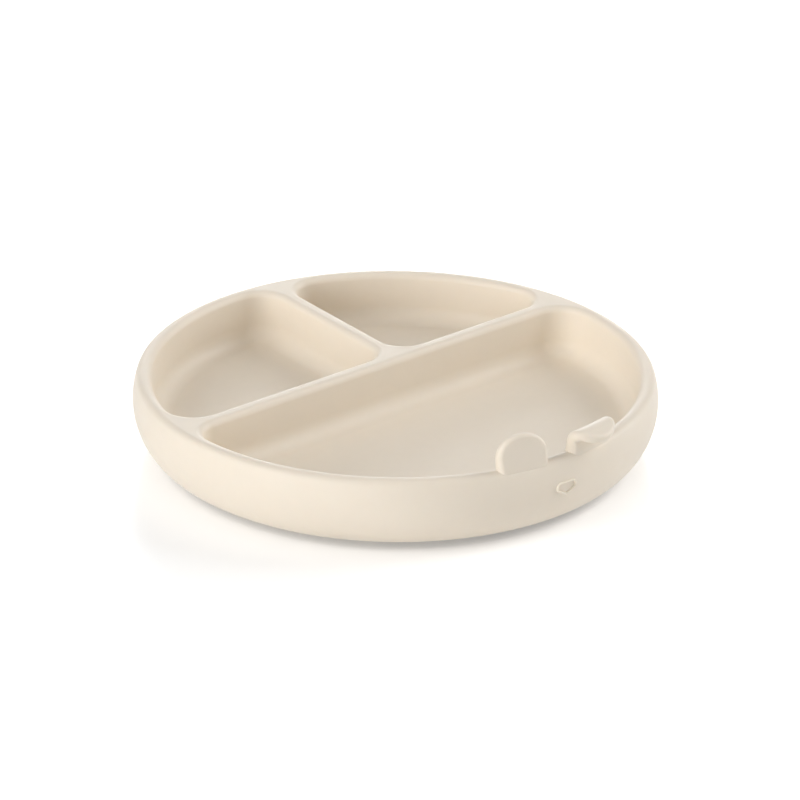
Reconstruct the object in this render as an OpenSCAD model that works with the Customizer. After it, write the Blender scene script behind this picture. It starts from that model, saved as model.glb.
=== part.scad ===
// Suction plate for a small child, one soft piece.
// Units are millimetres. +Z is up, -Y is the side with the nose and the two ears.
// The origin is on the table, on the axis of the round body.

/* [Plate] */
// Diameter of the body where the wall is widest
plate_diameter = 190; // [160:1:220]
// Height of the rim above the table
plate_height = 30; // [26:0.5:36]
// Width of the rim, from the pocket wall to the widest line of the outer wall
rim_width = 6.8; // [6:0.1:9]
// Height above the table where the outer wall is widest
belly_height = 20.3; // [16:0.1:22]
// How far the wall curves inwards below its widest line
belly_tuck = 12.5; // [6:0.5:16]
// Gap between the lower end of the wall and the table
belly_gap = 2.6; // [1:0.1:4]
// Rounding between the rim and the outer wall
shoulder_radius = 2.8; // [1.5:0.1:3.2]
// How far the rounding of the rim lies inside the widest line
shoulder_inset = 1.1; // [0.3:0.1:1.5]

/* [Base] */
// Distance from the widest line in to the ring that stands on the table
foot_inset = 18; // [14:0.5:30]
// Width of the flat part of the ring
foot_width = 6; // [4:0.5:10]
// Depth of the shallow hollow that holds the plate down
suction_depth = 3; // [1:0.1:3.5]

/* [Pockets] */
// Depth of the pockets below the rim
pocket_depth = 19; // [14:0.5:21]
// Rounding between the walls and the floor
floor_fillet = 6.8; // [4:0.1:8]
// Rounding of the upper edge of every wall
lip_radius = 2.6; // [1:0.1:2.8]
// Slope of the walls, in degrees
wall_draft = 2; // [0:0.5:5]
// Thickness of the two dividers
divider_thickness = 6.6; // [5:0.1:9]
// Distance from the axis to the middle of the long divider
long_divider_offset = 9.4; // [0:0.2:20]
// Turn of the long divider, in degrees
long_divider_turn = 2.6; // [-5:0.1:5]
// Distance from the axis to the middle of the short divider
short_divider_offset = 8.2; // [0:0.2:14]
// Turn of the short divider, in degrees
short_divider_turn = -1.4; // [-5:0.1:5]
// Corner radius at the left end of the front pocket
front_left_corner = 9; // [8.5:0.5:14]
// Corner radius at the right end of the front pocket
front_right_corner = 11.5; // [8.5:0.5:14]
// Radius of the other corners that lie against the rim
rim_corner = 10.5; // [8.5:0.5:14]
// Radius of the corners beside the junction of the dividers
junction_corner = 9.5; // [8.5:0.5:14]

/* [Ears] */
// Width of each ear along the rim
ear_width = 20.2; // [14:0.1:24]
// Length of the upright ear above the rim
ear_length = 12.9; // [11:0.1:16]
// Length of the folded ear above the rim, measured along the ear
folded_ear_length = 15; // [12:0.1:18]
// Height of the round part at the tip of each ear
ear_dome = 9.2; // [8:0.1:12]
// How far the tip of the upright ear lies to the left of its middle
ear_lean = 1.8; // [0:0.1:3]
// Thickness of each ear at the rim
ear_thickness = 5.4; // [4:0.1:6]
// Thickness of each ear at its tip
ear_tip_thickness = 2.8; // [2.4:0.1:4]
// Rounding of the edges of each ear
ear_edge = 1.2; // [0.5:0.1:1.2]
// Angle from the nose to the middle of the upright ear, in degrees
upright_ear_angle = 9.6; // [8.5:0.1:14]
// Angle from the nose to the middle of the folded ear, in degrees
folded_ear_angle = 9; // [8.5:0.1:14]
// Distance from the rim to the fold
fold_start = 3.4; // [1:0.1:5]
// Angle that the tip of the folded ear is turned through, in degrees
fold_turn = 110; // [60:1:150]
// Inner radius of the fold
fold_radius = 1.2; // [0.6:0.1:2]

/* [Nose] */
// Width of the nose outline
nose_width = 9.1; // [7:0.1:12]
// Height of the nose outline
nose_height = 5.4; // [4.6:0.1:7]
// Height of the middle of the nose above the table
nose_level = 19.1; // [16:0.1:22]
// Width of the raised line
nose_line = 0.9; // [0.6:0.1:1.2]
// Height of the raised line above the wall
nose_relief = 0.8; // [0.3:0.1:1]

/* [Hidden] */
silicone = [0.89, 0.84, 0.76];

body_radius = plate_diameter / 2;
wall_radius = body_radius - rim_width;
foot_outer = body_radius - foot_inset;
foot_inner = foot_outer - foot_width;
floor_level = plate_height - pocket_depth;
half_divider = divider_thickness / 2;

// The side of the ring leans out a little.
foot_flare = 0.8;

// The pocket cutters end above the rim.
cut_clearance = 3;
cut_top = plate_height + cut_clearance;

// Steps of the curves.
bowl_steps = 4;
tuck_steps = 9;
bulge_steps = 3;
shoulder_steps = 5;
fillet_steps = 5;
lip_steps = 4;
corner_steps = 8;
round_sides = 96;
rim_step = 360 / round_sides;
ear_steps = 15;
ball_sides = 12;
nose_sides = 32;

function dir(a) = [cos(a), sin(a)];
function angle_of(v) = atan2(v[1], v[0]);
function turn_to(from, to) = (to - from) - 360 * floor((to - from) / 360);
function span(a, b, steps) = [for (i = [0 : steps]) a + (b - a) * i / steps];

// Body: one closed half profile, turned about the axis.
// The centre of the shoulder lies so that the wall is widest at belly_height.
function shoulder_middle() = body_radius - shoulder_radius - shoulder_inset;
function bulge_angle() =
    2 * atan((body_radius - shoulder_middle() - shoulder_radius)
        / (plate_height - shoulder_radius - belly_height));
function bulge_radius() =
    (plate_height - shoulder_radius - belly_height) / sin(bulge_angle()) + shoulder_radius;

function hollow_points() =
    [for (t = span(0, 1, bowl_steps)) [foot_inner * t, suction_depth * (1 - t * t)]];
function tuck_points() =
    [for (a = span(90, 0, tuck_steps))
        [body_radius - belly_tuck + belly_tuck * cos(a),
            belly_height - (belly_height - belly_gap) * sin(a)]];
function bulge_points() =
    [for (a = span(bulge_angle() / bulge_steps, bulge_angle(), bulge_steps - 1))
        [body_radius - bulge_radius() + bulge_radius() * cos(a),
            belly_height + bulge_radius() * sin(a)]];
function shoulder_points() =
    [for (a = span(bulge_angle(), 90, shoulder_steps))
        if (a > bulge_angle())
            [shoulder_middle() + shoulder_radius * cos(a),
                plate_height - shoulder_radius + shoulder_radius * sin(a)]];

module body() {
    rotate_extrude($fn = round_sides)
        polygon(concat(
            hollow_points(),
            [[foot_outer, 0], [foot_outer + foot_flare, belly_gap / 2]],
            tuck_points(),
            bulge_points(),
            shoulder_points(),
            [[0, plate_height]]));
}

// Pocket wall: pairs of outward offset and height, from the floor to above the rim.
lip_level = plate_height - lip_radius + lip_radius * sin(wall_draft);
fillet_level = floor_level + floor_fillet * (1 - sin(wall_draft));
fillet_offset = -(lip_level - fillet_level) * tan(wall_draft);
fillet_middle = [fillet_offset - floor_fillet * cos(wall_draft), floor_level + floor_fillet];
lip_middle = [lip_radius * cos(wall_draft), plate_height - lip_radius];
wall_curve = concat(
    [for (a = span(-90, -wall_draft, fillet_steps)) fillet_middle + floor_fillet * dir(a)],
    [for (a = span(180 - wall_draft, 90, lip_steps)) lip_middle + lip_radius * dir(a)],
    [[lip_middle[0], cut_top]]);

// Divider walls: outward normal of the pocket side, and distance of the wall from the axis.
long_normal = dir(long_divider_turn + 90);
short_normal = dir(short_divider_turn);

// Middle of a corner between the rim and a wall. side is 1 or -1 along the wall.
function rim_corner_at(normal, off, r, side) =
    let (h = off + r, t = sqrt(pow(wall_radius - r, 2) - h * h))
    normal * h + side * t * [normal[1], -normal[0]];

// Middle of a corner between two walls.
function wall_corner_at(n1, off1, n2, off2, r) =
    let (d = n1[0] * n2[1] - n1[1] * n2[0], a = off1 + r, b = off2 + r)
    [(a * n2[1] - b * n1[1]) / d, (b * n1[0] - a * n2[0]) / d];

// An arc about a middle, grown by g.
function arc(middle, r, from, turn, steps, g) =
    [for (i = [0 : steps]) middle + (r + g) * dir(from + turn * i / steps)];

// Outline of a pocket between the rim and one wall.
function segment_outline(normal, off, r_first, r_last, g) =
    let (
        first = rim_corner_at(normal, off, r_first, 1),
        last = rim_corner_at(normal, off, r_last, -1),
        a = angle_of(last),
        b = angle_of(first),
        out = angle_of(-normal),
        sweep = turn_to(b, a))
    concat(
        arc([0, 0], wall_radius, b, sweep, round(sweep / rim_step), g),
        arc(last, r_last, a, turn_to(a, out), corner_steps, g),
        arc(first, r_first, out, turn_to(out, b), corner_steps, g));

// Outline of a pocket between the rim and two walls, n1 before n2 going round the pocket.
function sector_outline(n1, off1, side1, r1, n2, off2, side2, r2, r_inner, g) =
    let (
        c1 = rim_corner_at(n1, off1, r1, side1),
        c2 = rim_corner_at(n2, off2, r2, side2),
        inner = wall_corner_at(n1, off1, n2, off2, r_inner),
        a1 = angle_of(c1),
        a2 = angle_of(c2),
        out1 = angle_of(-n1),
        out2 = angle_of(-n2),
        sweep = turn_to(a2, a1))
    concat(
        arc([0, 0], wall_radius, a2, sweep, round(sweep / rim_step), g),
        arc(c1, r1, a1, turn_to(a1, out1), corner_steps, g),
        arc(inner, r_inner, out1, turn_to(out1, out2), corner_steps, g),
        arc(c2, r2, out2, turn_to(out2, a2), corner_steps, g));

// A solid through a list of level outlines that all have the same number of points.
module loft(levels) {
    n = len(levels[0]);
    m = len(levels);
    points = [for (level = levels) for (p = level) p];
    sides = [for (j = [0 : m - 2]) for (i = [0 : n - 1])
        let (k = (i + 1) % n)
        each [[j * n + i, (j + 1) * n + k, j * n + k], [j * n + i, (j + 1) * n + i, (j + 1) * n + k]]];
    floor_face = [for (i = [0 : n - 1]) i];
    roof_face = [for (i = [n - 1 : -1 : 0]) (m - 1) * n + i];
    polyhedron(points = points, faces = concat([floor_face, roof_face], sides));
}

function lift(outline, z) = [for (p = outline) [p[0], p[1], z]];

module front_pocket() {
    loft([for (w = wall_curve)
        lift(segment_outline(-long_normal, half_divider - long_divider_offset,
            front_left_corner, front_right_corner, w[0]), w[1])]);
}

module left_pocket() {
    loft([for (w = wall_curve)
        lift(sector_outline(long_normal, long_divider_offset + half_divider, -1, rim_corner,
            -short_normal, half_divider - short_divider_offset, 1, rim_corner,
            junction_corner, w[0]), w[1])]);
}

module right_pocket() {
    loft([for (w = wall_curve)
        lift(sector_outline(short_normal, short_divider_offset + half_divider, -1, rim_corner,
            long_normal, long_divider_offset + half_divider, 1, rim_corner,
            junction_corner, w[0]), w[1])]);
}

// Ears: a flat tab with a round tip and rounded edges, bent along its length. Its outer
// face is straight, and it gets thinner towards the tip on the side of the pockets.
// Each slice is four balls, at the corners of the tab's cross-section.
ear_inset = 1.6;
ear_face = body_radius - ear_inset;
ear_root = 6;
taper_power = 1.2;
half_thickness = ear_thickness / 2;
half_width = ear_width / 2 - ear_edge;
bend_radius = fold_radius + half_thickness;
bend_start = ear_root + fold_start;

// Moves a slice that lies up the tab by v, when the tab is bent outwards through turn degrees.
module bend(v, turn) {
    past = max(0, v - bend_start);
    b = turn > 0 ? min(turn, past / bend_radius * 180 / PI) : 0;
    straight = v - bend_start - b * PI / 180 * bend_radius;
    translate([0, half_thickness - ear_face, plate_height - ear_root + bend_start])
        translate([0, -bend_radius * (1 - cos(b)), bend_radius * sin(b)])
            rotate([b, 0, 0])
                translate([0, 0, straight])
                    children();
}

// stop holds half the width of the slice, and how far up the tab it lies. The tip leans by lean.
module slice(stop, length, lean, turn) {
    grown = min(1, max(0, (stop[1] - ear_root) / length));
    thickness = ear_tip_thickness
        + (ear_thickness - ear_tip_thickness) * pow(1 - grown, taper_power);
    bend(stop[1], turn)
        for (u = [-stop[0], stop[0]])
            for (w = [ear_edge, thickness - ear_edge])
                translate([u - lean * grown, w - half_thickness, 0])
                    sphere(r = ear_edge, $fn = ball_sides);
}

// The first slice is the root of the tab. The others follow the round tip.
module ear(length, lean, turn) {
    start = ear_root + length - ear_dome;
    dome = ear_dome - ear_edge;
    stops = concat(
        [[half_width, 0]],
        [for (a = span(0, 90, ear_steps)) [half_width * cos(a), start + dome * sin(a)]]);
    for (i = [0 : len(stops) - 2])
        hull() {
            slice(stops[i], length, lean, turn);
            slice(stops[i + 1], length, lean, turn);
        }
}

// Nose: a raised line round a triangle with round corners, on the outer wall.
nose_round = 2;
nose_shift = 0.45;
nose_span = 8;
nose_root = 2;
nose_cut = 5;
module nose_shape(r) {
    side = nose_width / 2 - nose_round;
    up = nose_height / 2 - nose_round;
    hull()
        for (corner = [[side, up], [-side, up], [0, -up]])
            translate(corner)
                circle(r = r, $fn = nose_sides);
}

module nose() {
    intersection() {
        translate([nose_shift, nose_root - body_radius, nose_level])
            rotate([90, 0, 0])
                linear_extrude(height = nose_root * 2)
                    difference() {
                        nose_shape(nose_round);
                        nose_shape(nose_round - nose_line);
                    }
        rotate_extrude($fn = round_sides)
            polygon(concat(
                [[body_radius - nose_cut, belly_height - nose_span]],
                [for (p = concat(tuck_points(), bulge_points()))
                    if (p[1] > belly_height - nose_span) [p[0] + nose_relief, p[1]]],
                [[body_radius - nose_cut, bulge_points()[bulge_steps - 1][1]]]));
    }
}

module plate() {
    color(silicone)
        union() {
            difference() {
                body();
                front_pocket();
                left_pocket();
                right_pocket();
            }
            rotate([0, 0, -upright_ear_angle])
                ear(ear_length, ear_lean, 0);
            rotate([0, 0, folded_ear_angle])
                ear(folded_ear_length, 0, fold_turn);
            nose();
        }
}

plate();
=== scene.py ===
# %% [markdown]
# A divided plate for a small child
#
# The real plate is one piece of soft matt silicone from one mould. The packed
# model gives its true sizes, but its curves are coarse. Here each curve is
# drawn again with fine steps, so that light runs over it softly, and the
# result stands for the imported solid. Everything is in metres.

import math

import bmesh
import bpy
from mathutils import Matrix, Vector


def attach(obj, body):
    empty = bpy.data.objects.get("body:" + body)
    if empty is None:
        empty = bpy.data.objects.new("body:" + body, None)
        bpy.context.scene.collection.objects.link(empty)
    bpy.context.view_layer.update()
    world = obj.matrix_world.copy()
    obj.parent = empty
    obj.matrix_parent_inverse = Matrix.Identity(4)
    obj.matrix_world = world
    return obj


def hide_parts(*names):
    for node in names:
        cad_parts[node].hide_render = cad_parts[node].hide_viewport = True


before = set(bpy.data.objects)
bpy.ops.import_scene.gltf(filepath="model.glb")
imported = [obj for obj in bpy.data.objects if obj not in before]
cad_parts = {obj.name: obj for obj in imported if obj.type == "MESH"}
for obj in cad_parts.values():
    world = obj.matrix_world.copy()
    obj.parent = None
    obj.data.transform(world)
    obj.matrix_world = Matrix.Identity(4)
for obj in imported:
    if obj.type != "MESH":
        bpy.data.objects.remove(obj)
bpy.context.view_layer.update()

# %% [markdown]
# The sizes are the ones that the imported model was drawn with. They are kept in
# millimetres, as on a maker's drawing, and turned into metres where a point
# is made. Origin: on the table, under the middle of the round body.

# %% Sizes from the drawing
MM = 0.001
BODY_RADIUS = 95.0
HEIGHT = 30.0
RIM_WIDTH = 6.8
WALL_RADIUS = BODY_RADIUS - RIM_WIDTH
BELLY_HEIGHT = 20.3
BELLY_TUCK = 12.5
BELLY_GAP = 2.6
SHOULDER_RADIUS = 2.8
SHOULDER_INSET = 1.1
SHOULDER_MIDDLE = BODY_RADIUS - SHOULDER_RADIUS - SHOULDER_INSET
FOOT_INSET, FOOT_WIDTH, FOOT_ROUND = 18.0, 6.0, 0.8
FOOT_OUTER = BODY_RADIUS - FOOT_INSET
FOOT_INNER = FOOT_OUTER - FOOT_WIDTH
HOLLOW_DEPTH = 3.0
POCKET_DEPTH = 19.0
FILLET = 6.8
LIP = 2.6
DRAFT = math.radians(2)
HALF_DIVIDER = 3.3
LONG_OFFSET, LONG_TURN = 9.4, 2.6
SHORT_OFFSET, SHORT_TURN = 8.2, -1.4
print("outer diameter", 2 * BODY_RADIUS, "mm, height", HEIGHT, "mm")

# %% [markdown]
# Most lines on this plate are arcs joined end to end, as if drawn with a pair
# of compasses. Blender's spin operator does the same: it carries a single
# vertex round a centre and leaves a trail of edges. This small pen remembers
# where it stopped, and draws a straight edge if the next arc starts elsewhere.

# %% A pen that draws arcs
NEAR = 0.00001


class Pen:
    """Draws arcs and straight edges in one plane of a bmesh."""

    def __init__(self, bm, place, axis):
        self.bm, self.place, self.axis = bm, place, Vector(axis)
        self.verts = []

    def line_to(self, point):
        spot = self.place(point)
        if self.verts and (self.verts[-1].co - spot).length < NEAR:
            return
        self.verts.append(self.bm.verts.new(spot))
        if len(self.verts) > 1:
            self.bm.edges.new(self.verts[-2:])

    def arc(self, centre, radius, start, turn, steps):
        start = math.radians(start)
        self.line_to((centre[0] + radius * math.cos(start), centre[1] + radius * math.sin(start)))
        before = self.verts[-2:]
        bmesh.ops.spin(self.bm, geom=[self.verts[-1]], cent=self.place(centre), axis=self.axis,
                       angle=math.radians(turn), steps=steps, use_merge=False)
        for _ in range(steps):
            tip = self.verts[-1]
            ahead = [e.other_vert(tip) for e in tip.link_edges if e.other_vert(tip) not in before]
            before = [tip]
            self.verts.append(ahead[0])

    def close(self):
        first, last = self.verts[0], self.verts[-1]
        if (first.co - last.co).length < NEAR:
            bmesh.ops.pointmerge(self.bm, verts=[first, last], merge_co=first.co)
            self.verts = [v for v in self.verts if v.is_valid]
        else:
            self.bm.edges.new((last, first))
        return edges_of(self.verts)


def edges_of(verts):
    """The edges that join these vertices to each other."""
    own = set(verts)
    return list({e for v in verts for e in v.link_edges if e.other_vert(v) in own})


def add_to(bm, other):
    """Moves everything in another bmesh into this one."""
    carrier = bpy.data.meshes.new("carrier")
    other.to_mesh(carrier)
    other.free()
    bm.from_mesh(carrier)
    bpy.data.meshes.remove(carrier)


def seal(bm):
    """Merges doubles and turns every face outwards."""
    bmesh.ops.remove_doubles(bm, verts=bm.verts, dist=NEAR / 2)
    bmesh.ops.recalc_face_normals(bm, faces=bm.faces)


def finished(bm, name, *materials):
    """Turns a bmesh into a smooth-shaded piece with these materials."""
    open_edges = sum(1 for e in bm.edges if len(e.link_faces) != 2)
    for face in bm.faces:
        face.smooth = True
    mesh = bpy.data.meshes.new(name)
    bm.to_mesh(mesh)
    bm.free()
    piece = bpy.data.objects.new(name, mesh)
    bpy.context.scene.collection.objects.link(piece)
    for material in materials:
        mesh.materials.append(material)
    print(name, len(mesh.polygons), "faces,", open_edges, "open edges")
    return piece


# %% [markdown]
# Silicone has a soft satin skin. Two things make it: a grain so fine that it
# is felt more than seen, and slow changes of tone and gloss where the mould
# was polished a little more or less. Both belong to the skin and not to one
# colour, so they are made once, as a node group with named inputs. Patterns
# read Object coordinates, which are metres here, so a scale of 1000 repeats
# once in a millimetre.

# %% A node group for moulded silicone skin


def add_node(tree, kind, inputs=None, **settings):
    node = tree.nodes.new(kind)
    for key, value in settings.items():
        setattr(node, key, value)
    for key, value in (inputs or {}).items():
        node.inputs[key].default_value = value
    return node


def noise(tree, where, scale, detail=2.0):
    node = add_node(tree, "ShaderNodeTexNoise", {"Scale": scale, "Detail": detail})
    tree.links.new(where, node.inputs["Vector"])
    return node.outputs["Fac"]


def spread(tree, value, low, high):
    """Maps the useful middle of a noise, 0.3 to 0.7, to low and high."""
    node = add_node(tree, "ShaderNodeMapRange",
                    {"From Min": 0.3, "From Max": 0.7, "To Min": low, "To Max": high})
    tree.links.new(value, node.inputs["Value"])
    return node


skin = bpy.data.node_groups.new("moulded_skin", "ShaderNodeTree")
for socket, kind, start in (("Colour", "NodeSocketColor", (0.8, 0.8, 0.8, 1)),
                            ("Tone Change", "NodeSocketFloat", 0.03),
                            ("Roughness", "NodeSocketFloat", 0.5),
                            ("Roughness Change", "NodeSocketFloat", 0.05),
                            ("Grain", "NodeSocketFloat", 0.2)):
    made = skin.interface.new_socket(socket, in_out="INPUT", socket_type=kind)
    made.default_value = start
for socket, kind in (("Colour", "NodeSocketColor"), ("Roughness", "NodeSocketFloat"),
                     ("Normal", "NodeSocketVector")):
    skin.interface.new_socket(socket, in_out="OUTPUT", socket_type=kind)
given = add_node(skin, "NodeGroupInput")
result = add_node(skin, "NodeGroupOutput")
where = add_node(skin, "ShaderNodeTexCoord").outputs["Object"]

# Tone: clouds about 40 mm wide, and finer ones about 4 mm wide.
wide = spread(skin, noise(skin, where, 24.0), -1.0, 1.0)
fine = spread(skin, noise(skin, where, 260.0, 3.0), -0.4, 0.4)
both = add_node(skin, "ShaderNodeMath", operation="ADD")
skin.links.new(wide.outputs["Result"], both.inputs[0])
skin.links.new(fine.outputs["Result"], both.inputs[1])
amount = add_node(skin, "ShaderNodeMath", operation="MULTIPLY_ADD")
skin.links.new(both.outputs[0], amount.inputs[0])
skin.links.new(given.outputs["Tone Change"], amount.inputs[1])
amount.inputs[2].default_value = 1.0
tone = add_node(skin, "ShaderNodeVectorMath", operation="SCALE")
skin.links.new(given.outputs["Colour"], tone.inputs[0])
skin.links.new(amount.outputs[0], tone.inputs["Scale"])
skin.links.new(tone.outputs["Vector"], result.inputs["Colour"])

# Gloss: clouds about 17 mm wide, moved so that they don't follow the tone.
moved = add_node(skin, "ShaderNodeMapping", {"Location": (0.31, 0.17, 0.05)})
skin.links.new(where, moved.inputs["Vector"])
gloss = spread(skin, noise(skin, moved.outputs["Vector"], 60.0, 4.0), -1.0, 1.0)
rough = add_node(skin, "ShaderNodeMath", operation="MULTIPLY_ADD")
skin.links.new(gloss.outputs["Result"], rough.inputs[0])
skin.links.new(given.outputs["Roughness Change"], rough.inputs[1])
skin.links.new(given.outputs["Roughness"], rough.inputs[2])
skin.links.new(rough.outputs[0], result.inputs["Roughness"])

# Grain: bumps about a third of a millimetre wide and a hundredth high.
grain = add_node(skin, "ShaderNodeBump", {"Distance": 0.00002})
skin.links.new(noise(skin, where, 2600.0, 3.0), grain.inputs["Height"])
skin.links.new(given.outputs["Grain"], grain.inputs["Strength"])
skin.links.new(grain.outputs["Normal"], result.inputs["Normal"])
print("moulded_skin has", len(skin.nodes), "nodes")

# %% [markdown]
# The plate shows two finishes of the same silicone. The outside and the
# pockets are matt, from a finely blasted mould. The hollow underneath, which
# has to cling to a table, is smooth and shines more. Light goes a millimetre
# or two into silicone before it comes back, which a little subsurface gives,
# and it makes the thin edges of the ears look soft.

# %% The two finishes
CREAM = (0.85, 0.763, 0.643, 1)


def silicone(name, roughness, change, grain_strength, sheen):
    material = bpy.data.materials.new(name)
    material.use_nodes = True
    tree = material.node_tree
    surface = tree.nodes["Principled BSDF"]
    group = add_node(tree, "ShaderNodeGroup")
    group.node_tree = skin
    for key, value in (("Colour", CREAM), ("Tone Change", 0.012), ("Roughness", roughness),
                       ("Roughness Change", change), ("Grain", grain_strength)):
        group.inputs[key].default_value = value
    tree.links.new(group.outputs["Colour"], surface.inputs["Base Color"])
    tree.links.new(group.outputs["Roughness"], surface.inputs["Roughness"])
    tree.links.new(group.outputs["Normal"], surface.inputs["Normal"])
    surface.inputs["IOR"].default_value = 1.41
    surface.inputs["Subsurface Weight"].default_value = 0.15
    surface.inputs["Subsurface Radius"].default_value = (1.0, 0.75, 0.55)
    surface.inputs["Subsurface Scale"].default_value = 0.0015
    surface.inputs["Sheen Weight"].default_value = sheen
    surface.inputs["Sheen Roughness"].default_value = 0.35
    return material


matt = silicone("matt_silicone", roughness=0.45, change=0.05, grain_strength=0.3, sheen=0.12)
smooth = silicone("smooth_silicone", roughness=0.22, change=0.04, grain_strength=0.05, sheen=0.0)
print("finishes:", matt.name, "and", smooth.name)

# %% [markdown]
# The body is round, so its outside is one spun profile. The pen draws half of
# the profile: the shallow hollow underneath, the ring that stands on the
# table, the tucked-in belly, and the soft shoulder up to the rim. Spin then
# carries the profile round the axis. The top stays open for the rim.

# %% Profile of the outside
ROUND_STEPS = 288
HOLLOW_STEPS, FOOT_STEPS, TUCK_STEPS, BULGE_STEPS, SHOULDER_STEPS = 12, 5, 28, 8, 12


def upright(point):
    """A point of the profile, (distance from the axis, height) in millimetres."""
    return Vector((point[0] * MM, 0, point[1] * MM))


def oval(centre, across, up, start, end, steps):
    """Points of a quarter oval, which compasses can't draw."""
    for i in range(steps + 1):
        a = math.radians(start + (end - start) * i / steps)
        yield (centre[0] + across * math.cos(a), centre[1] + up * math.sin(a))


rise = HEIGHT - SHOULDER_RADIUS - BELLY_HEIGHT
bulge = 2 * math.degrees(math.atan((BODY_RADIUS - SHOULDER_MIDDLE - SHOULDER_RADIUS) / rise))
bulge_radius = rise / math.sin(math.radians(bulge)) + SHOULDER_RADIUS

body = bmesh.new()
pen = Pen(body, upright, (0, -1, 0))
for i in range(HOLLOW_STEPS + 1):
    pen.line_to((FOOT_INNER * i / HOLLOW_STEPS, HOLLOW_DEPTH * (1 - (i / HOLLOW_STEPS) ** 2)))
pen.line_to((FOOT_OUTER - FOOT_ROUND, 0))
pen.arc((FOOT_OUTER - FOOT_ROUND, FOOT_ROUND), FOOT_ROUND, -90, 90, FOOT_STEPS)
belly = (BODY_RADIUS - BELLY_TUCK, BELLY_HEIGHT)
for point in oval(belly, BELLY_TUCK, BELLY_HEIGHT - BELLY_GAP, -90, 0, TUCK_STEPS):
    pen.line_to(point)
pen.arc((BODY_RADIUS - bulge_radius, BELLY_HEIGHT), bulge_radius, 0, bulge, BULGE_STEPS)
shoulder = (SHOULDER_MIDDLE, HEIGHT - SHOULDER_RADIUS)
pen.arc(shoulder, SHOULDER_RADIUS, bulge, 90 - bulge, SHOULDER_STEPS)
profile = list(pen.verts)
print("profile of", len(profile), "points")

# %% Spin the outside
bmesh.ops.spin(body, geom=profile + edges_of(profile), cent=(0, 0, 0), axis=(0, 0, 1),
               angle=math.tau, steps=ROUND_STEPS, use_merge=True)
bmesh.ops.remove_doubles(body, verts=body.verts, dist=NEAR / 2)
print("the outside has", len(body.faces), "faces")

# %% [markdown]
# Each pocket is a part of one big circle, cut off by the dividers, with round
# corners. Its wall is the same curve everywhere: a rounded lip, a nearly
# upright wall, and a wide fillet down to the floor. So a pocket is made of
# level outlines, one for each height, and bridge_loops joins each to the
# next. An outline that lies further in or out is the same drawing with
# larger or smaller arcs.

# %% Outlines of the pockets


def direction(angle):
    return Vector((math.cos(math.radians(angle)), math.sin(math.radians(angle))))


def angle_of(v):
    return math.degrees(math.atan2(v[1], v[0]))


def rim_corner(normal, off, r, side):
    """Middle of a corner of radius r between the rim and a wall."""
    h = off + r
    along = math.sqrt((WALL_RADIUS - r) ** 2 - h * h)
    return normal * h + side * along * Vector((normal[1], -normal[0]))


def wall_corner(n1, off1, n2, off2, r):
    """Middle of a corner of radius r between two walls."""
    d = n1[0] * n2[1] - n1[1] * n2[0]
    a, b = off1 + r, off2 + r
    return Vector(((a * n2[1] - b * n1[1]) / d, (b * n1[0] - a * n2[0]) / d))


long_normal = direction(LONG_TURN + 90)
short_normal = direction(SHORT_TURN)
CORNER_STEPS = 16


def segment(normal, off, r_first, r_last):
    """Arcs of a pocket between the rim and one wall: (centre, radius, start, turn, steps)."""
    first = rim_corner(normal, off, r_first, 1)
    last = rim_corner(normal, off, r_last, -1)
    a, b, out = angle_of(last), angle_of(first), angle_of(-normal)
    sweep = (a - b) % 360
    return [((0, 0), WALL_RADIUS, b, sweep, round(sweep * ROUND_STEPS / 360)),
            (last, r_last, a, (out - a) % 360, CORNER_STEPS),
            (first, r_first, out, (b - out) % 360, CORNER_STEPS)]


def sector(n1, off1, side1, r1, n2, off2, side2, r2, r_inner):
    """Arcs of a pocket between the rim and two walls."""
    c1, c2 = rim_corner(n1, off1, r1, side1), rim_corner(n2, off2, r2, side2)
    inner = wall_corner(n1, off1, n2, off2, r_inner)
    a1, a2, out1, out2 = angle_of(c1), angle_of(c2), angle_of(-n1), angle_of(-n2)
    sweep = (a1 - a2) % 360
    return [((0, 0), WALL_RADIUS, a2, sweep, round(sweep * ROUND_STEPS / 360)),
            (c1, r1, a1, (out1 - a1) % 360, CORNER_STEPS),
            (inner, r_inner, out1, (out2 - out1) % 360, CORNER_STEPS),
            (c2, r2, out2, (a2 - out2) % 360, CORNER_STEPS)]


# %% The three pockets
FRONT_LEFT_CORNER, FRONT_RIGHT_CORNER = 9.0, 11.5
RIM_CORNER, JUNCTION_CORNER = 10.5, 9.5
pockets = {
    "front": segment(-long_normal, HALF_DIVIDER - LONG_OFFSET, FRONT_LEFT_CORNER, FRONT_RIGHT_CORNER),
    "left": sector(long_normal, LONG_OFFSET + HALF_DIVIDER, -1, RIM_CORNER,
                   -short_normal, HALF_DIVIDER - SHORT_OFFSET, 1, RIM_CORNER, JUNCTION_CORNER),
    "right": sector(short_normal, SHORT_OFFSET + HALF_DIVIDER, -1, RIM_CORNER,
                    long_normal, LONG_OFFSET + HALF_DIVIDER, 1, RIM_CORNER, JUNCTION_CORNER),
}
print("pockets:", ", ".join(pockets))

# %% [markdown]
# The wall's curve is a list of pairs: how far the outline grows, and its
# height. It starts at the floor, follows the fillet and the wall, and ends on
# top of the lip.

# %% Curve of the pocket wall
FILLET_STEPS, LIP_STEPS = 14, 10
floor_level = HEIGHT - POCKET_DEPTH
lip_level = HEIGHT - LIP + LIP * math.sin(DRAFT)
fillet_level = floor_level + FILLET * (1 - math.sin(DRAFT))
fillet_offset = -(lip_level - fillet_level) * math.tan(DRAFT)


def quarter(middle, radius, start, end, steps):
    return [(middle[0] + radius * math.cos(math.radians(start + (end - start) * i / steps)),
             middle[1] + radius * math.sin(math.radians(start + (end - start) * i / steps)))
            for i in range(steps + 1)]


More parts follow.
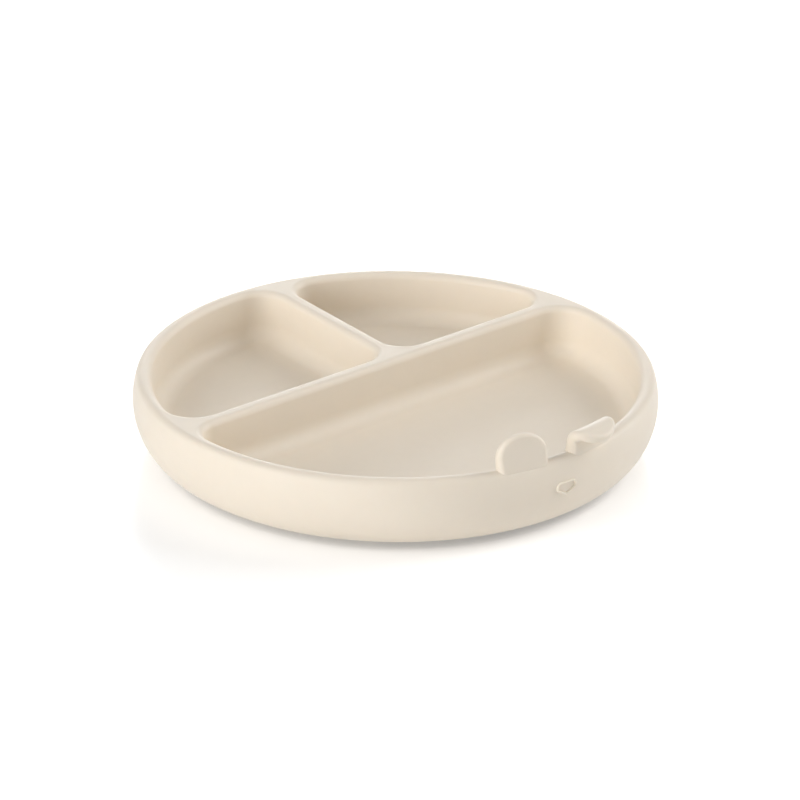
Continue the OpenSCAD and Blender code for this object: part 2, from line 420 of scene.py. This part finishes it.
draft = math.degrees(DRAFT)
fillet_middle = (fillet_offset - FILLET * math.cos(DRAFT), floor_level + FILLET)
lip_middle = (LIP * math.cos(DRAFT), HEIGHT - LIP)
wall_curve = (quarter(fillet_middle, FILLET, -90, -draft, FILLET_STEPS)
              + quarter(lip_middle, LIP, 180 - draft, 90, LIP_STEPS))
print("the wall curve has", len(wall_curve), "levels")

# %% [markdown]
# A flat area gets its faces from triangle_fill. Smooth shading would let the
# round edge beside it bleed into those large triangles, so inset_region lays
# a hair-thin ring along its border first, which keeps the flat looking flat.

# %% Walls and floors of the pockets
HOLD = 0.08 * MM


def flat_fill(bm, edges):
    """Fills outlines that lie in one level plane, with a thin ring along the border."""
    filled = bmesh.ops.triangle_fill(bm, use_beauty=True, edges=edges, normal=(0, 0, 1))["geom"]
    faces = [g for g in filled if isinstance(g, bmesh.types.BMFace)]
    bmesh.ops.inset_region(bm, faces=faces, thickness=HOLD, use_even_offset=True, use_boundary=True)


def loft(arcs, levels, put, axis=(0, 0, 1)):
    """Draws the same arcs at every level in a new bmesh, and bridges each outline to the next."""
    bm = bmesh.new()
    loops = []
    for grow, height in levels:
        pen = Pen(bm, lambda p, h=height: put(p, h), axis)
        for centre, radius, start, turn, steps in arcs:
            pen.arc(centre, radius + grow, start, turn, steps)
        loops.append(pen.close())
    for lower, upper in zip(loops, loops[1:]):
        bmesh.ops.bridge_loops(bm, edges=lower + upper)
    return bm, loops[0], loops[-1]


def level(point, height):
    return Vector((point[0] * MM, point[1] * MM, height * MM))


for name, arcs in pockets.items():
    pocket, floor_loop, top_loop = loft(arcs, wall_curve, level)
    flat_fill(pocket, floor_loop)
    print(name, "pocket: outline of", len(top_loop), "edges,", len(pocket.faces), "faces")
    add_to(body, pocket)

# %% [markdown]
# What is left open is the rim: a flat area between the outer circle and the
# three pocket outlines, which runs over the dividers too. triangle_fill takes
# all four outlines at once and leaves the pockets as holes. The hollow
# underneath then gets the second finish, the smooth one.

# %% The flat rim and the hollow
SLACK = 1.0
flat_fill(body, [e for e in body.edges if e.is_boundary])
seal(body)
hollow_reach, hollow_top = (FOOT_INNER + SLACK) * MM, (HOLLOW_DEPTH + SLACK) * MM
for face in body.faces:
    middle = face.calc_center_median()
    if middle.xy.length < hollow_reach and middle.z < hollow_top:
        face.material_index = 1
plate_body = finished(body, "plate_body", matt, smooth)

# %% [markdown]
# The ears are tabs with a round tip. Each starts as half of a disc with its
# straight side extruded down, gets its thickness, and a bevel rounds its
# edges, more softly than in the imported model. Cuts across it give it joints
# to bend at. Then each point moves in three steps. First the tab gets thinner
# and crisper towards the tip, flares a little where it meets the rim, and its
# foot sinks into the pocket wall. Next it is bent as a strip of silicone
# bends: straight up to the fold, round the fold, and straight on. Last it is
# wrapped round the plate, so that its face follows the round wall.

# %% Sizes of the ears
EAR_WIDTH, EAR_DOME, EAR_EDGE = 20.2, 9.2, 2.6
EAR_CRISP = 0.6
EAR_THICK, EAR_TIP_THICK, TAPER = 5.4, 2.8, 1.2
EAR_ROOT, EAR_INSET = 6.0, 1.6
EAR_FLARE, EAR_DROP, FOOT_SINK = 0.4, 1.4, 0.6
EAR_FACE = BODY_RADIUS - EAR_INSET
FOLD_START, FOLD_RADIUS = 3.4, 1.2
TINY = 0.001
half_thick = EAR_THICK / 2
bend_radius = FOLD_RADIUS + half_thick
bend_start = EAR_ROOT + FOLD_START
print("an ear is", EAR_WIDTH, "mm wide, and", EAR_THICK, "mm thick at the rim")

# %% How a tab becomes an ear


def squeezed(depth, whole, soft, new_whole):
    """A depth below the skin, when the rounding shrinks to soft and the whole depth changes."""
    if depth < EAR_EDGE:
        return depth * soft / EAR_EDGE
    return soft + (depth - EAR_EDGE) * (new_whole - soft) / (whole - EAR_EDGE)


def shaped(point, length, lean):
    """Gives the even tab its taper, crisper edges at the tip, its lean and its flare."""
    u, v, w = point
    grown = min(1.0, max(0.0, (v - EAR_ROOT) / length))
    thickness = EAR_TIP_THICK + (EAR_THICK - EAR_TIP_THICK) * (1 - grown) ** TAPER
    soft = EAR_EDGE * (1 - EAR_CRISP * grown)
    half, start = EAR_WIDTH / 2, EAR_ROOT + length - EAR_DOME
    above = max(0.0, v - start)
    reach = math.hypot(u / half, above / EAR_DOME)
    if reach > TINY:
        scale = (1 - squeezed((1 - reach) * half, half, soft, half) / half) / reach
        u *= scale
        v += above * (scale - 1)
    back = max(0.0, w + half_thick - EAR_EDGE) / (EAR_THICK - EAR_EDGE)
    rim_level = EAR_ROOT - EAR_DROP * (1 - min(1.0, back))
    left = EAR_FLARE - min(EAR_FLARE, max(0.0, v - rim_level))
    flare = EAR_FLARE - math.sqrt(EAR_FLARE ** 2 - left ** 2)
    u *= 1 + flare / half
    u -= lean * grown
    foot = min(1.0, max(0.0, (EAR_ROOT - v) / LIP))
    depth = squeezed(w + half_thick, EAR_THICK, soft, thickness)
    return u, v, depth - half_thick - back * foot * FOOT_SINK


def bent(point, turn):
    """Where a point (across, along, through) of the tab goes on the plate."""
    u, v, w = point
    past = max(0.0, v - bend_start)
    b = min(math.radians(turn), past / bend_radius)
    straight = v - bend_start - b * bend_radius
    out = bend_radius * (1 - math.cos(b)) - w * math.cos(b) + straight * math.sin(b)
    up = bend_radius * math.sin(b) + w * math.sin(b) + straight * math.cos(b)
    radius = EAR_FACE - half_thick + out
    return Vector((radius * math.sin(u / EAR_FACE), -radius * math.cos(u / EAR_FACE),
                   HEIGHT - EAR_ROOT + bend_start + up))


# %% The tab before it is bent
TIP_SEGMENTS, EDGE_SEGMENTS = 96, 12
PARTS_ACROSS, PARTS_ALONG = 16, 60
ON_CUT, ON_LINE, IN_LINE = 1e-6, 1e-4, 0.01
SHARP = math.radians(60)


def cut(bm, place, normal, clear_inner=False):
    """Cuts everything along a plane, and can throw away what lies behind it."""
    bmesh.ops.bisect_plane(bm, geom=bm.verts[:] + bm.edges[:] + bm.faces[:], dist=ON_CUT,
                           plane_co=place, plane_no=normal, clear_inner=clear_inner)


def shift(bm, geom, vec):
    bmesh.ops.translate(bm, vec=vec, verts=[g for g in geom if isinstance(g, bmesh.types.BMVert)])


def even_tab(length):
    """A flat tab of even thickness, with a round tip, rounded edges and joints to bend at."""
    bm = bmesh.new()
    half, start = EAR_WIDTH / 2, EAR_ROOT + length - EAR_DOME
    bmesh.ops.create_circle(bm, cap_ends=True, radius=half, segments=TIP_SEGMENTS)
    cut(bm, (0, 0, 0), (0, 1, 0), clear_inner=True)
    bmesh.ops.scale(bm, verts=bm.verts, vec=(1, EAR_DOME / half, 1))
    base = [e for e in bm.edges if all(abs(v.co.y) < ON_LINE for v in e.verts)]
    shift(bm, bmesh.ops.extrude_edge_only(bm, edges=base)["geom"], (0, -start, 0))
    shift(bm, bm.verts, (0, start, -half_thick))
    bmesh.ops.dissolve_limit(bm, angle_limit=IN_LINE, verts=[], edges=base)
    shift(bm, bmesh.ops.extrude_face_region(bm, geom=bm.faces[:])["geom"], (0, 0, EAR_THICK))
    bmesh.ops.recalc_face_normals(bm, faces=bm.faces)
    sharp = [e for e in bm.edges if e.calc_face_angle(0) > SHARP]
    bmesh.ops.bevel(bm, geom=sharp, offset=EAR_EDGE, segments=EDGE_SEGMENTS, profile=0.5,
                    affect="EDGES", clamp_overlap=True, material=-1)
    for i in range(1, PARTS_ACROSS):
        cut(bm, (-half + EAR_WIDTH * i / PARTS_ACROSS, 0, 0), (1, 0, 0))
    for i in range(1, PARTS_ALONG):
        cut(bm, (0, (EAR_ROOT + length) * i / PARTS_ALONG, 0), (0, 1, 0))
    return bm


# %% Ears


def make_ear(name, length, lean, turn, angle):
    """Shapes a tab, bends it through turn degrees, and sets it angle degrees round from the nose."""
    bm = even_tab(length)
    for v in bm.verts:
        v.co = bent(shaped(v.co, length, lean), turn) * MM
    bmesh.ops.rotate(bm, verts=bm.verts, cent=(0, 0, 0),
                     matrix=Matrix.Rotation(math.radians(angle), 3, "Z"))
    seal(bm)
    return finished(bm, name, matt)


left_ear = make_ear("left_ear", length=12.9, lean=1.8, turn=0.0, angle=-9.6)
right_ear = make_ear("right_ear", length=15.0, lean=0.0, turn=110.0, angle=9.0)

# %% [markdown]
# The nose is a thin raised line round a small triangle on the outer wall. It
# is drawn flat with three arcs, in several widths: low at its two sides and
# high in its middle. Then every point is moved back onto the curved wall.

# %% Nose line
NOSE_WIDTH, NOSE_HEIGHT, NOSE_LEVEL, NOSE_LINE, NOSE_RELIEF = 9.1, 5.4, 19.1, 0.9, 0.8
NOSE_ROUND, NOSE_SHIFT = 2.0, 0.45
NOSE_SINK, NOSE_STEPS, RIDGE_STEP = 0.15, 14, 18


def wall_at(height):
    """Distance of the outer wall from the axis at a height, in millimetres."""
    drop = height - BELLY_HEIGHT
    if drop < 0:
        return BODY_RADIUS - BELLY_TUCK * (1 - math.sqrt(1 - (drop / (BELLY_HEIGHT - BELLY_GAP)) ** 2))
    return BODY_RADIUS - bulge_radius + math.sqrt(bulge_radius ** 2 - drop ** 2)


side, up = NOSE_WIDTH / 2 - NOSE_ROUND, NOSE_HEIGHT / 2 - NOSE_ROUND
slope = math.degrees(math.atan2(2 * up, side))
middle_radius = NOSE_ROUND - NOSE_LINE / 2
nose_arcs = [((side, up), middle_radius, slope - 90, 180 - slope, NOSE_STEPS),
             ((-side, up), middle_radius, 90, 180 - slope, NOSE_STEPS),
             ((0, -up), middle_radius, 270 - slope, 2 * slope, NOSE_STEPS)]
ridge = [(NOSE_LINE / 2 * math.cos(math.radians(a)),
          (NOSE_RELIEF + NOSE_SINK) * math.sin(math.radians(a)) - NOSE_SINK)
         for a in range(0, 181, RIDGE_STEP)]
nose, inner_loop, outer_loop = loft(nose_arcs, ridge,
                                    lambda p, h: Vector((p[0], -h, p[1])) * MM, axis=(0, -1, 0))
bmesh.ops.bridge_loops(nose, edges=inner_loop + outer_loop)
for v in nose.verts:
    across, out, height = v.co.x / MM + NOSE_SHIFT, -v.co.y / MM, v.co.z / MM + NOSE_LEVEL
    radius = wall_at(height) + out
    v.co = Vector((across, -math.sqrt(radius ** 2 - across ** 2), height)) * MM
seal(nose)
nose_line = finished(nose, "nose_line", matt)

# %% [markdown]
# All four pieces ride on the plate's one body, and together they stand for
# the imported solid.

# %% Join the pieces to the frame
for piece in (plate_body, left_ear, right_ear, nose_line):
    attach(piece, "root")
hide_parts("plate")
print("four pieces ride on root and stand for the packed plate")

# %% [markdown]
# The floor is a white sheet with a faint polish, as on a photographer's
# table. It takes the plate's shadow, and mirrors the plate a little.

# %% Floor
FLOOR_HALF = 6.0
floor_mesh = bmesh.new()
bmesh.ops.create_grid(floor_mesh, x_segments=1, y_segments=1, size=FLOOR_HALF)
sheet_mesh = bpy.data.meshes.new("floor")
floor_mesh.to_mesh(sheet_mesh)
floor_mesh.free()
floor_sheet = bpy.data.objects.new("floor", sheet_mesh)
bpy.context.scene.collection.objects.link(floor_sheet)
print("the floor is", 2 * FLOOR_HALF, "metres wide")

# %% [markdown]
# The table's white comes from its colour and from a touch of emission, which
# only camera and mirror rays see, so that it adds no light to the plate. That
# emission reaches into the narrow gap under the plate's edge too, where a real
# table is dark. An ambient occlusion node with a reach of a few millimetres
# finds the gap, and darkens both the colour and the emission there.

# %% White table with a contact shade
TABLE_WHITE, GAP_SHADE, LIFT = 0.93, 0.57, 0.34
GAP_REACH, GAP_DEEP, GAP_OPEN = 0.004, 0.28, 0.85


def seen_rays(tree):
    """Two values: 1 for camera rays, and 1 for camera and mirror rays."""
    rays = add_node(tree, "ShaderNodeLightPath")
    seen = add_node(tree, "ShaderNodeMath", operation="MAXIMUM")
    tree.links.new(rays.outputs["Is Camera Ray"], seen.inputs[0])
    tree.links.new(rays.outputs["Is Glossy Ray"], seen.inputs[1])
    return rays.outputs["Is Camera Ray"], seen.outputs[0]


white = bpy.data.materials.new("white_table")
white.use_nodes = True
tree = white.node_tree
table_top = tree.nodes["Principled BSDF"]
table_top.inputs["Roughness"].default_value = 0.2
table_top.inputs["IOR"].default_value = 1.45
table_top.inputs["Emission Color"].default_value = (1, 1, 1, 1)
by_camera, by_both = seen_rays(tree)
close = add_node(tree, "ShaderNodeAmbientOcclusion", {"Distance": GAP_REACH}, samples=12)
dark = add_node(tree, "ShaderNodeMapRange",
                {"From Min": GAP_DEEP, "From Max": GAP_OPEN, "To Min": GAP_SHADE, "To Max": TABLE_WHITE})
shade = add_node(tree, "ShaderNodeMix", {"A": TABLE_WHITE}, data_type="FLOAT")
glow = add_node(tree, "ShaderNodeMath", operation="MULTIPLY")
glow.inputs[1].default_value = LIFT
lift = add_node(tree, "ShaderNodeMath", operation="MULTIPLY")
tree.links.new(close.outputs["AO"], dark.inputs["Value"])
tree.links.new(by_camera, shade.inputs["Factor"])
tree.links.new(dark.outputs["Result"], shade.inputs["B"])
tree.links.new(shade.outputs["Result"], table_top.inputs["Base Color"])
tree.links.new(shade.outputs["Result"], glow.inputs[0])
tree.links.new(by_both, lift.inputs[0])
tree.links.new(glow.outputs[0], lift.inputs[1])
tree.links.new(lift.outputs[0], table_top.inputs["Emission Strength"])
sheet_mesh.materials.append(white)
print("the contact shade reaches", GAP_REACH, "metres")

# %% [markdown]
# The photograph's light comes from large white panels that stand round the
# table. Each panel is two wide lamps here, one low and one high, except that
# the back has a low one only. The low ones light the outer wall and hardly
# reach down into the pockets. The high ones light the pocket walls across from
# them and leave the near walls in shade. A weak lamp overhead and an even
# world fill in the rest. The world is white for camera and mirror rays, and
# much weaker as a light.

# %% World
WORLD_LIGHT, WORLD_SEEN = 0.2, 1.0
world = bpy.data.worlds.new("studio")
bpy.context.scene.world = world
world.use_nodes = True
tree = world.node_tree
backdrop = tree.nodes["Background"]
_, by_both = seen_rays(tree)
choice = add_node(tree, "ShaderNodeMapRange", {"To Min": WORLD_LIGHT, "To Max": WORLD_SEEN})
tree.links.new(by_both, choice.inputs["Value"])
tree.links.new(choice.outputs["Result"], backdrop.inputs["Strength"])
backdrop.inputs["Color"].default_value = (1, 1, 1, 1)
print("the world gives a light of", WORLD_LIGHT)

# %% Lamps
CAMERA_TURN = math.radians(-38.3)
LAMP_WIDTH = math.radians(30)


def towards(turn, elevation):
    """The direction from the plate to something turned round the axis, and raised above the table."""
    return Vector((math.sin(turn) * math.cos(elevation),
                   -math.cos(turn) * math.cos(elevation), math.sin(elevation)))


def soft_sun(name, strength, turn, height):
    """A distant lamp at turn degrees round from the camera, and height degrees up."""
    data = bpy.data.lights.new(name, "SUN")
    data.energy = strength
    data.angle = LAMP_WIDTH
    lamp = bpy.data.objects.new(name, data)
    bpy.context.scene.collection.objects.link(lamp)
    back = towards(CAMERA_TURN + math.radians(turn), math.radians(height))
    lamp.rotation_mode = "QUATERNION"
    lamp.rotation_quaternion = back.to_track_quat("Z", "Y")


soft_sun("left_low", 0.64, turn=-60, height=10)
soft_sun("left_high", 0.78, turn=-60, height=35)
soft_sun("front_low", 0.92, turn=-25, height=10)
soft_sun("front_high", 0.15, turn=-25, height=40)
soft_sun("right_low", 0.86, turn=110, height=10)
soft_sun("right_high", 1.07, turn=110, height=35)
soft_sun("back_low", 0.6, turn=180, height=10)
soft_sun("overhead", 0.19, turn=0, height=85)
print(len(bpy.data.lights), "lamps")

# %% [markdown]
# The camera stands where the photographer's did, found from the oval of the
# rim: 1.4 metres away with a long lens, 24.7 degrees above the table, and
# rolled by half a degree. The two small shifts put the plate at its place in
# the picture.

# %% Camera
LOOK_AT = Vector((0, 0, 0.015))
DISTANCE = 1.39875
ELEVATION = math.radians(24.739)
ROLL = math.radians(0.532)
camera_data = bpy.data.cameras.new("camera")
camera_data.sensor_width = 36
camera_data.lens = 173.45
camera_data.shift_x = 0.0057
camera_data.shift_y = 0.0081
camera = bpy.data.objects.new("camera", camera_data)
bpy.context.scene.collection.objects.link(camera)
back = towards(CAMERA_TURN, ELEVATION)
camera.rotation_mode = "QUATERNION"
camera.location = LOOK_AT + back * DISTANCE
turned = back.to_track_quat("Z", "Y").to_matrix() @ Matrix.Rotation(ROLL, 3, "Z")
camera.rotation_quaternion = turned.to_quaternion()
bpy.context.scene.camera = camera
bpy.context.scene.view_settings.view_transform = "Standard"
print("the camera stands", DISTANCE, "metres away")
